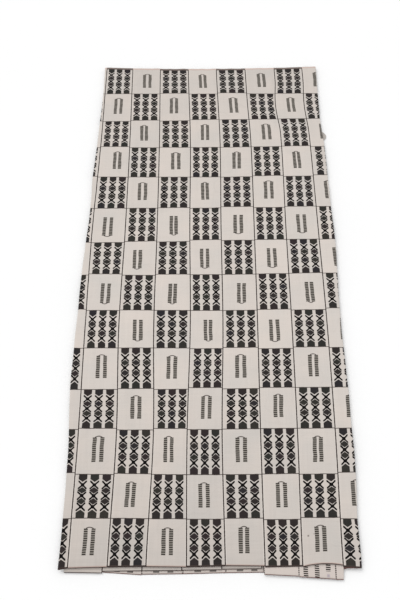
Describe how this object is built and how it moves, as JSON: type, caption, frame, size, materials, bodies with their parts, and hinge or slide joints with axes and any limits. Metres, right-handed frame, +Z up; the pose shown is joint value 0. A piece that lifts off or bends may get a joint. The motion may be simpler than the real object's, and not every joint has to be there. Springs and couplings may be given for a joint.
{
  "type": "mossi cloth",
  "caption": "Cotton cloth of narrow woven strips sewn edge to edge, both sides turned under and folded once crosswise, lying flat in layers.",
  "frame": {"origin": "on the resting surface, below the middle of the bundle's bounding box", "axes": "+Z up out of the top layer, +Y along the strips from the open near ends to the crosswise fold, +X to the right across the strips"},
  "size_m": [0.6716, 1.423, 0.0114],
  "materials": {
    "woven_cotton": "matt hand-loomed cotton, pale ground with black woven pattern"
  },
  "bodies": {
    "root": {"strip_01": "woven_cotton", "strip_02": "woven_cotton", "strip_03": "woven_cotton", "strip_04": "woven_cotton", "strip_05": "woven_cotton", "strip_06": "woven_cotton", "strip_07": "woven_cotton", "strip_08": "woven_cotton", "strip_09": "woven_cotton", "strip_10": "woven_cotton", "strip_11": "woven_cotton", "strip_12": "woven_cotton", "strip_13": "woven_cotton", "strip_14": "woven_cotton", "strip_15": "woven_cotton"}
  },
  "joints": []
}
